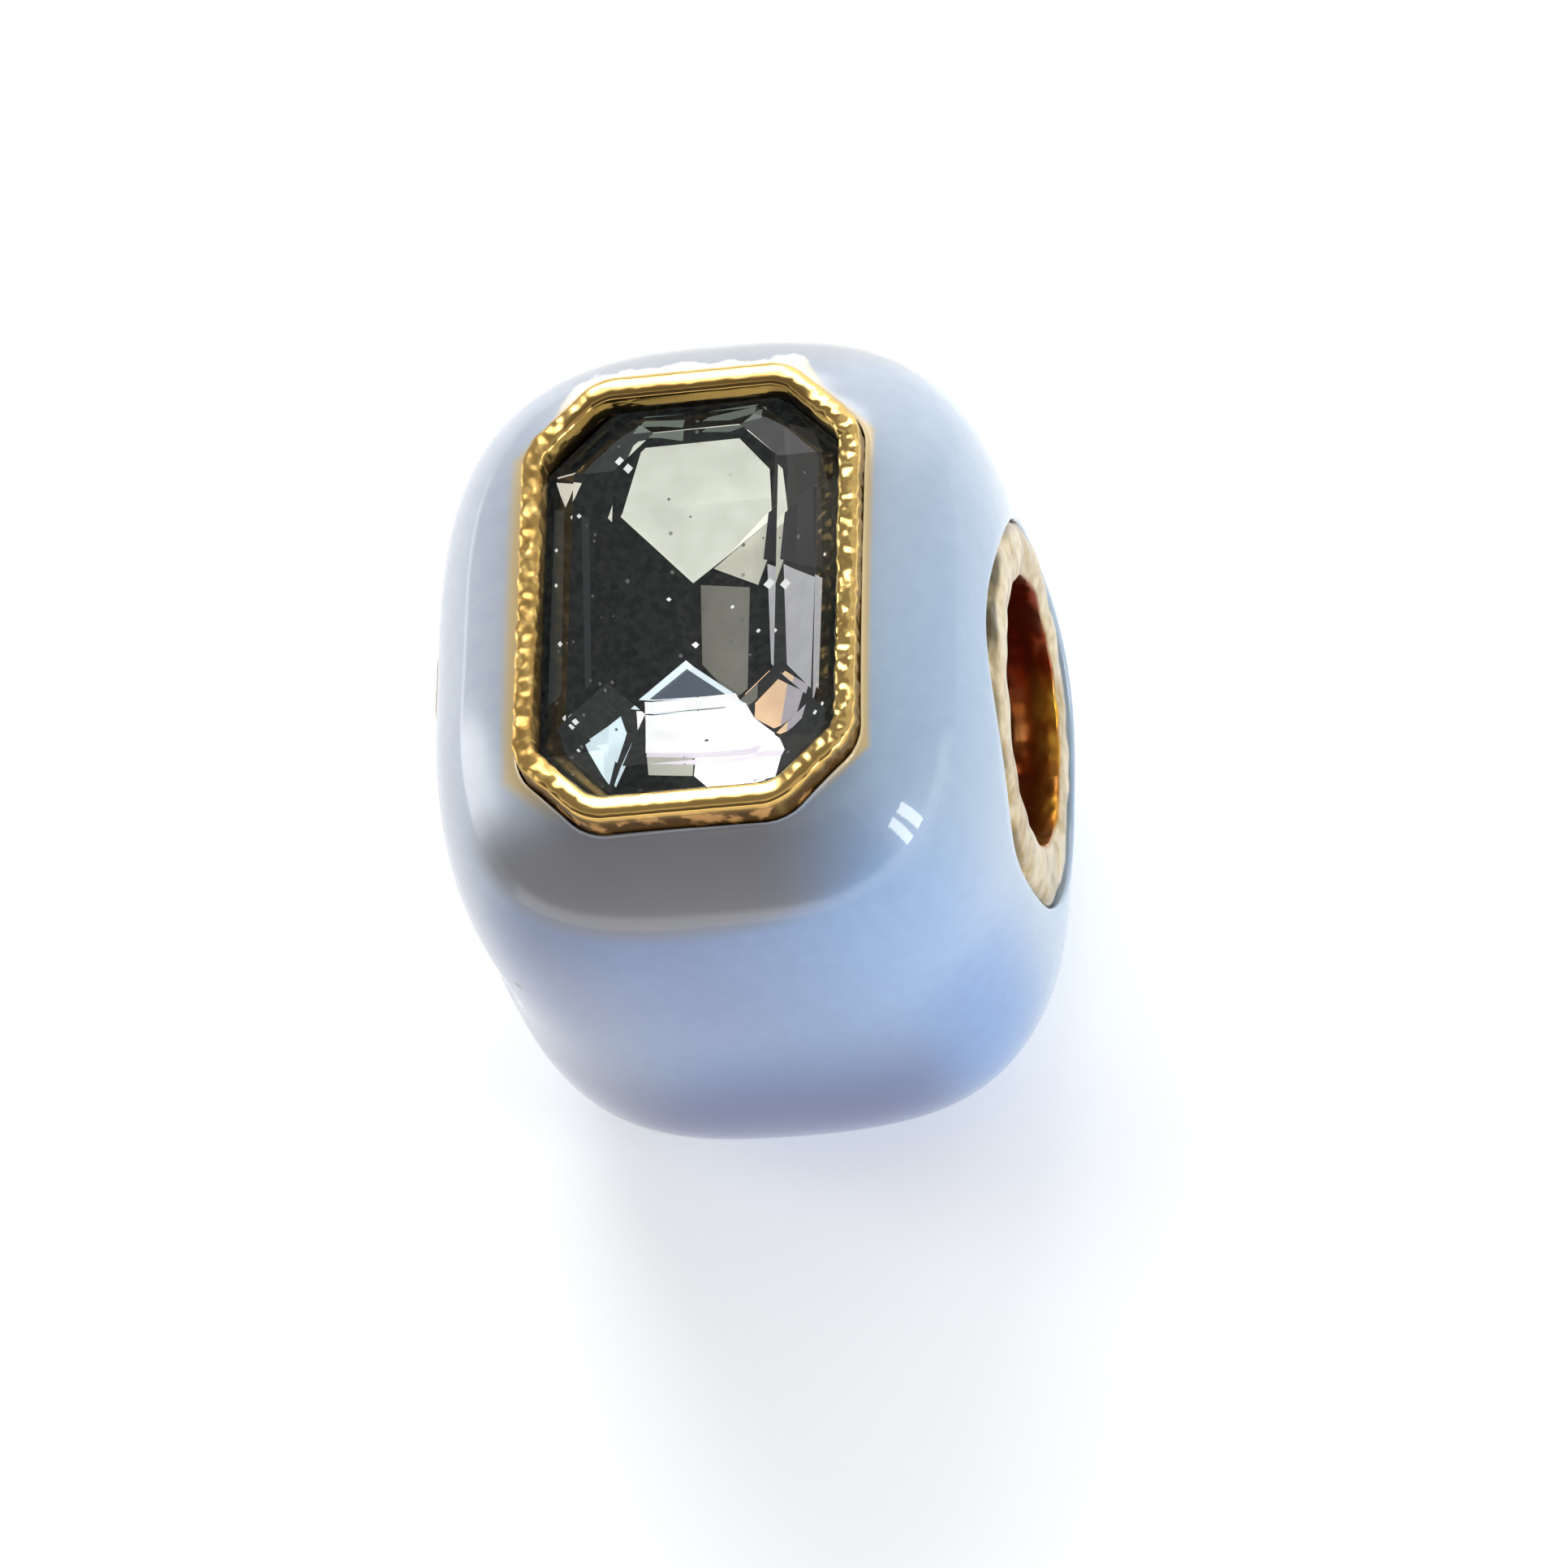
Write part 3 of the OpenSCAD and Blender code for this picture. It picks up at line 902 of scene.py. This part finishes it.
# Painted reflections on the foil: a tone, and the outline in mm where it lies on the stone's back
foilReflections = [
    ((0.030, 0.035, 0.035, 1), [(-2.2, 2.0), (-1.98, 2.0), (-1.92, -1.3), (-2.2, -1.5)]),
    ((0.026, 0.030, 0.030, 1), [(-1.76, 1.9), (-1.62, 1.85), (-1.5, -1.1), (-1.6, -1.2)]),
    ((0.035, 0.033, 0.030, 1), [
        (1.2, 2.4), (1.25, 3.0), (1.75, 2.9), (1.8, 2.0), (1.63, 2.1), (1.07, 1.75),
    ]),
    ((0.64, 0.66, 0.56, 1), [
        (-0.18, 0.76), (-1.3, 1.89), (-0.93, 2.86), (-0.85, 2.92), (0.66, 2.93), (1.12, 2.42), (1.12, 1.62),
    ]),
    ((0.40, 0.40, 0.34, 1), [(1.12, 1.62), (0.16, 0.96), (0.92, 0.49), (1.12, 1.05)]),
    ((0.138, 0.138, 0.12, 1), [(-0.06, 0.72), (0.78, 0.48), (0.78, -1.32), (0.56, -1.46), (0, -0.71)]),
    ((0.023, 0.023, 0.025, 1), [(1.07, 1.75), (1.63, 2.1), (1.7, 0.63), (1.0, 0.93)]),
    ((0.42, 0.42, 0.435, 1), [(1.07, 0.83), (1.7, 0.45), (1.66, -1.51), (1.17, -0.97)]),
    ((0.72, 0.84, 0.90, 1), [(-0.26, -0.62), (-0.95, -1.36), (0.6, -1.4)]),
    ((0.09, 0.11, 0.14, 1), [(-0.24, -0.77), (-0.79, -1.34), (0.44, -1.38)]),
    ((0.95, 0.95, 0.95, 1), [
        (-0.86, -1.39), (0.58, -1.36), (0.76, -1.7), (1.12, -2.05), (1.25, -2.32), (0.03, -2.3),
        (-0.8, -2.2),
    ]),
    ((0.82, 0.55, 0.34, 1), [
        (0.74, -1.4), (1.14, -1.08), (1.3, -1.2), (1.2, -1.9), (1.1, -1.95), (0.76, -1.7),
    ]),
    ((0.40, 0.37, 0.40, 1), [(1.3, -1.2), (1.61, -1.44), (1.49, -1.78), (1.2, -1.9)]),
    ((0.76, 0.70, 0.80, 1), [
        (-0.78, -2.2), (0.03, -2.3), (1.25, -2.32), (1.22, -2.48), (0, -2.42), (-0.78, -2.29),
    ]),
    ((0.95, 0.95, 0.95, 1), [
        (0, -2.42), (1.22, -2.48), (1.22, -2.95), (0.72, -3.08), (0.24, -3.02), (0, -2.7),
    ]),
    ((0.45, 0.45, 0.39, 1), [(-0.77, -2.29), (-0.03, -2.41), (-0.02, -2.7), (-0.73, -2.58)]),
    ((0.66, 0.80, 0.86, 1), [
        (-1.61, -1.97), (-1.11, -1.5), (-1.01, -1.81), (-1.23, -2.82), (-1.36, -2.55),
    ]),
    ((0.70, 0.66, 0.56, 1), [(-2.19, 2.47), (-1.77, 2.44), (-1.96, 2.06)]),
    ((0.15, 0.18, 0.15, 1), [(-0.96, 3.08), (-0.87, 3.21), (-0.22, 3.15), (-0.25, 2.97), (-0.6, 3.05)]),
    ((0.12, 0.14, 0.12, 1), [(0.06, 3.08), (0.17, 3.16), (0.95, 3.31), (0.9, 3.15), (0.51, 3.04)]),
]
# The glints, as small diamonds of painted highlight
foilReflections += [
    (stone["sparkle"], [(x - r, y), (x, y - r), (x + r, y), (x, y + r)]) for x, y, r in stone["sparkles"]
]


def makeStone():
    made = stone
    size = stoneHigh - stoneLow
    top = stoneHigh.z
    girdleTop = top - made["crown"]
    girdleFoot = girdleTop - made["girdle"]
    girdle = octagonCorners(size.x, size.y, made["cut"])
    table = octagonCorners(made["tableWidth"], made["tableLength"], made["tableCut"])
    bm = bmesh.new()
    share, stepHeight = made["stepIn"], girdleTop + made["crown"] * made["stepUp"]
    for (gx, gy), (tx, ty) in zip(girdle, table):
        tx, ty = tx + made["tableShift"].x, ty + made["tableShift"].y
        bm.verts.new((tx, ty, top))
        bm.verts.new((gx + (tx - gx) * share, gy + (ty - gy) * share, stepHeight))
        bm.verts.new((gx, gy, girdleTop))
        bm.verts.new((gx, gy, girdleFoot))
    for x in (-1, 1):
        for y in (-1, 1):
            shelf = girdleFoot - made["pavilion"] * made["shelfShare"]
            bm.verts.new((x * made["shelfWidth"] / 2, y * made["shelfLength"] / 2, shelf))
    for y in (-1, 1):
        bm.verts.new((made["keelShift"], y * made["keel"] / 2, girdleFoot - made["pavilion"]))
    bmesh.ops.convex_hull(bm, input=bm.verts[:])
    bmesh.ops.dissolve_limit(bm, angle_limit=math.radians(0.5), verts=bm.verts[:], edges=bm.edges[:])
    bmesh.ops.recalc_face_normals(bm, faces=bm.faces[:])
    for _, outline in foilReflections:
        cutOutline(bm, outline)
    # Each back face takes the tone of the painted reflection that holds it
    tones = bm.loops.layers.float_color.new("facetTone")
    for face in bm.faces:
        isBack = face.normal.z < made["backFrom"]
        face.material_index = 1 if isBack else 0
        x, y, _ = face.calc_center_median() / mm
        shown = made["charcoal"]
        for tone, outline in foilReflections:
            if isBack and holdsPoint(outline, x, y):
                shown = tone
        for corner in face.loops:
            corner[tones] = shown
    return dress(bm, "facetedStone", "stone", [stoneGlass(), stoneFoil()], smooth=False)


def cutOutline(bm, outline):  # cuts the stone's back faces along the sides of an outline
    lowX, highX = min(x for x, y in outline), max(x for x, y in outline)
    lowY, highY = min(y for x, y in outline), max(y for x, y in outline)
    for (x, y), (farX, farY) in zip(outline, outline[1:] + outline[:1]):
        near = []
        for face in bm.faces:
            spots = [v.co / mm for v in face.verts]
            apart = max(c.x for c in spots) < lowX or min(c.x for c in spots) > highX
            apart = apart or max(c.y for c in spots) < lowY or min(c.y for c in spots) > highY
            if face.normal.z < stone["backFrom"] and not apart:
                near.append(face)
        parts = list({part for face in near for part in [*face.verts, *face.edges, face]})
        normal = Vector((farY - y, x - farX, 0)).normalized()
        start = Vector((x, y, 0)) * mm
        bmesh.ops.bisect_plane(bm, geom=parts, dist=0.0002 * mm, plane_co=start, plane_no=normal)


def holdsPoint(outline, x, y):
    holds = False
    for (ax, ay), (bx, by) in zip(outline, outline[1:] + outline[:1]):
        if (ay > y) != (by > y) and x < ax + (bx - ax) * (y - ay) / (by - ay):
            holds = not holds
    return holds


def stoneGlass():
    material, _, shader = newMaterial("stoneGlass")
    shader.inputs["Base Color"].default_value = stone["glass"]
    shader.inputs["Transmission Weight"].default_value = 1.0
    shader.inputs["Roughness"].default_value = 0.0
    shader.inputs["IOR"].default_value = stone["refraction"]
    return material


def stoneFoil():
    material, tree, shader = newMaterial("stoneFoil")
    tone = add(tree, "ShaderNodeAttribute", attribute_name="facetTone").outputs["Color"]
    spot = millimetres(tree)
    dots = add(tree, "ShaderNodeTexVoronoi", voronoi_dimensions="3D")
    dots.inputs["Scale"].default_value = 6.0
    tree.links.new(spot, dots.inputs["Vector"])
    chosen = add(tree, "ShaderNodeSeparateColor")
    tree.links.new(dots.outputs["Color"], chosen.inputs[0])
    size = times(tree, ramp(tree, chosen.outputs["Red"], 0.75, 1.0), 0.22)
    speck = ramp(tree, minus(tree, dots.outputs["Distance"], size), 0.05, 0.0)
    speck = times(tree, speck, ramp(tree, chosen.outputs["Green"], 0.25, 0.5))
    shaded = blend(tree, times(tree, cloudy(tree, spot, 2.2, 2.0), 0.2), tone, stone["haze"])
    shaded = blend(tree, cloudy(tree, spot, 6.0, 6.0), shaded, stone["dust"])
    shaded.node.blend_type = "LIGHTEN"
    shown = blend(tree, speck, shaded, stone["specks"])
    tree.links.new(shown, shader.inputs["Base Color"])
    # The foil's tones glow as well, as painted light
    tree.links.new(shown, shader.inputs["Emission Color"])
    shader.inputs["Emission Strength"].default_value = 1.0
    shader.inputs["Metallic"].default_value = 1.0
    shader.inputs["Roughness"].default_value = stone["foilRoughness"]
    return material


makeEnamelCoat()
makeBezel()
makeRing("ringRight", 1)
makeRing("ringLeft", -1)
makeLining()
makeCore()
makeStone()


# Stage, lights and camera

stage = {"floorSize": 0.6, "floor": (0.96, 0.96, 0.96, 1), "glow": 0.3, "roughness": 0.8}

photo = {
    "azimuth": 23.2,
    "elevation": 59.29,
    "roll": 1.19,
    "distance": 156.75 * mm,
    "lens": 225.7,
    "right": 0.443 * mm,  # where the camera aims, from the middle of the hole
    "up": -0.761 * mm,
}


def makeFloor():
    bm = bmesh.new()
    bmesh.ops.create_grid(bm, x_segments=8, y_segments=8, size=stage["floorSize"] / 2)
    mesh = bpy.data.meshes.new("floor")
    bm.to_mesh(mesh)
    bm.free()
    material, _, shader = newMaterial("paleFloor")
    shader.inputs["Base Color"].default_value = stage["floor"]
    shader.inputs["Emission Color"].default_value = stage["floor"]
    shader.inputs["Emission Strength"].default_value = stage["glow"]
    shader.inputs["Roughness"].default_value = stage["roughness"]
    mesh.materials.append(material)
    floor = bpy.data.objects.new("floor", mesh)
    scene.collection.objects.link(floor)


def towards(azimuth, elevation):  # azimuth 0 is the -Y side, 90 the +X side
    a, e = math.radians(azimuth), math.radians(elevation)
    return Vector((math.sin(a) * math.cos(e), -math.cos(a) * math.cos(e), math.sin(e)))


def makeCamera():
    back = towards(photo["azimuth"], photo["elevation"])
    right = Vector((0, 1, 0)).cross(back).normalized()
    up = back.cross(right)
    roll = math.radians(photo["roll"])
    right, up = right * math.cos(roll) + up * math.sin(roll), up * math.cos(roll) - right * math.sin(roll)
    aim = Vector((0, 0, hole["height"])) + right * photo["right"] + up * photo["up"]
    data = bpy.data.cameras.new("camera")
    data.lens = photo["lens"]
    data.sensor_width = 36
    data.clip_start = 0.01
    data.clip_end = 10
    camera = bpy.data.objects.new("camera", data)
    scene.collection.objects.link(camera)
    turn = Matrix((right, up, back)).transposed().to_4x4()
    camera.matrix_world = Matrix.Translation(aim + back * photo["distance"]) @ turn
    scene.camera = camera


studio = {
    "plain": (0.72, 0.73, 0.74, 1),
    # The zones of the room: azimuth, half the width, lowest and highest elevation, soft edge, colour
    "zones": [
        (-157, 42, 46, 78, 10, (0.32, 0.32, 0.33, 1)),
        (-15, 62, 16, 66, 12, (0.15, 0.15, 0.16, 1)),
        (20, 80, -5, 6, 8, (2.0, 2.0, 2.0, 1)),
        (-113, 9, 6, 22, 20, (4.7, 4.7, 4.7, 1)),
        (-130, 12, 5, 55, 8, (0.3, 0.3, 0.31, 1)),
        (158, 14, 0, 32, 12, (1.5, 1.5, 1.5, 1)),
        (-166, 8, 22, 42, 12, (6.6, 6.6, 6.6, 1)),
        (-183, 9, 35, 45, 9, (5.6, 5.6, 5.6, 1)),
    ],
    # Two narrow softboxes side by side, which glint on the enamel
    "panes": [("nearPane", 62.8), ("farPane", 71.6)],
    "paneRise": 20,
    "paneDistance": 0.25,
    "paneWidth": 0.023,
    "paneHeight": 0.112,
    "paneRadiance": 10.5,
}


def makeWorld():
    world = bpy.data.worlds.new("studio")
    scene.world = world
    world.use_nodes = True
    tree = world.node_tree
    x, y, z = axes(tree, add(tree, "ShaderNodeTexCoord").outputs["Generated"])
    flat = maths(tree, "SQRT", plus(tree, times(tree, x, x), times(tree, y, y)))
    rise = maths(tree, "ARCSINE", z)
    colour = studio["plain"]
    for azimuth, half, low, high, soft, zoneColour in studio["zones"]:
        way = towards(azimuth, 0)
        facing = plus(tree, times(tree, x, way.x), times(tree, y, way.y))
        turn = maths(tree, "ARCCOSINE", maths(tree, "DIVIDE", facing, flat))
        share = times(
            tree,
            ramp(tree, turn, math.radians(half + soft), math.radians(half)),
            ramp(tree, rise, math.radians(low - soft), math.radians(low)),
            ramp(tree, rise, math.radians(high + soft), math.radians(high)),
        )
        colour = blend(tree, share, colour, zoneColour)
    back = tree.nodes["Background"]
    tree.links.new(colour, back.inputs["Color"])
    back.inputs["Strength"].default_value = 1.0


def makePane(name, azimuth):
    data = bpy.data.lights.new(name, "AREA")
    data.shape = "RECTANGLE"
    data.size, data.size_y = studio["paneWidth"], studio["paneHeight"]
    data.energy = studio["paneRadiance"] * math.pi * studio["paneWidth"] * studio["paneHeight"]
    light = bpy.data.objects.new(name, data)
    scene.collection.objects.link(light)
    out = towards(azimuth, studio["paneRise"])
    light.matrix_world = Matrix.Translation(Vector((0, 0, hole["height"])) + out * studio["paneDistance"])
    light.rotation_mode = "QUATERNION"
    light.rotation_quaternion = out.to_track_quat("Z", "Y")


makeFloor()
makeWorld()
for name, azimuth in studio["panes"]:
    makePane(name, azimuth)
makeCamera()
scene.view_settings.view_transform = "Standard"
